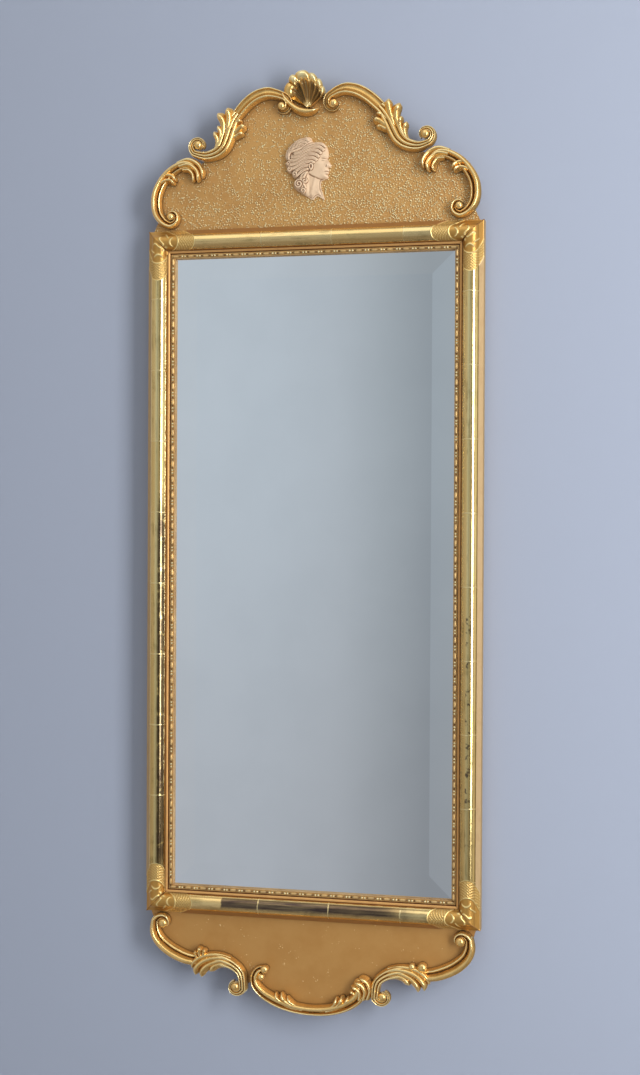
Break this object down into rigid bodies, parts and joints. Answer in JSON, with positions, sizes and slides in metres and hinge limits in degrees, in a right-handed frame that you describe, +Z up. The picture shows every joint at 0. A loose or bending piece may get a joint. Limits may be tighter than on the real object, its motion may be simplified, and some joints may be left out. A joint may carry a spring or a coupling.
{
  "type": "carved gilt wall mirror",
  "caption": "Tall carved and gilt wall mirror with a bevelled plate, scrolled crest with shell and relief head, scrolled apron and ring hangers behind.",
  "frame": {"origin": "middle of the backing board's rear face, in the plane of the frame's back, at the middle of the frame's width and height", "axes": "+Z up, +X to the right seen from the front, +Y backwards to the wall, so the front faces -Y"},
  "size_m": [0.4, 0.034, 1.1032],
  "materials": {
    "burnished_gilding": "water gilding burnished over red bole on softwood",
    "bead_gilding": "gilded wood, rubbed pale on the high points",
    "key_wood": "bare hardwood",
    "mirror_glass": "silvered bevelled glass",
    "bare_pine": "bare softwood",
    "backing_wood": "bare darkened wood",
    "dark_iron": "dark iron wire",
    "sanded_gilding": "gilding over sanded gesso",
    "matt_gilding": "smooth matt gilding",
    "carving_gilding": "satin gilding with brown patina in the hollows",
    "pale_gesso": "matt cream gesso on carved wood",
    "steel": "plain steel"
  },
  "bodies": {
    "mirror": {"stile_left": "burnished_gilding", "stile_right": "burnished_gilding", "rail_top": "burnished_gilding", "rail_bottom": "burnished_gilding", "sight_slip_left": "bead_gilding", "sight_slip_right": "bead_gilding", "sight_slip_top": "bead_gilding", "sight_slip_bottom": "bead_gilding", "mitre_keys": "key_wood", "mirror_plate": "mirror_glass", "setting_blocks": "bare_pine", "backing_board": "backing_wood", "backing_brads": "dark_iron", "crest_board": "sanded_gilding", "crest_shell": "carving_gilding", "crest_scroll_upper_left": "carving_gilding", "crest_scroll_upper_right": "carving_gilding", "crest_leaf_left": "carving_gilding", "crest_leaf_right": "carving_gilding", "crest_scroll_lower_left": "carving_gilding", "crest_scroll_lower_right": "carving_gilding", "relief_head": "pale_gesso", "crest_batten_left": "bare_pine", "crest_batten_right": "bare_pine", "crest_screws": "steel", "apron_board": "matt_gilding", "apron_scroll_left": "carving_gilding", "apron_scroll_right": "carving_gilding", "apron_leaf_left": "carving_gilding", "apron_leaf_right": "carving_gilding", "apron_scroll_centre": "carving_gilding", "apron_batten_left": "bare_pine", "apron_batten_right": "bare_pine", "apron_screws": "steel", "hanger_strap_left": "steel", "hanger_strap_right": "steel", "hanger_screws": "steel"},
    "left_ring": {"hanger_ring_left": "steel"},
    "right_ring": {"hanger_ring_right": "steel"}
  },
  "joints": [
    {"name": "hanger_ring_left_swing", "type": "hinge", "parent": "mirror", "child": "left_ring", "pos_m": [-0.1875, 0.003, 0.2505], "axis": [1, 0, 0], "range_deg": [0, 180]},
    {"name": "hanger_ring_right_swing", "type": "hinge", "parent": "mirror", "child": "right_ring", "pos_m": [0.1875, 0.003, 0.2505], "axis": [1, 0, 0], "range_deg": [0, 180]}
  ]
}
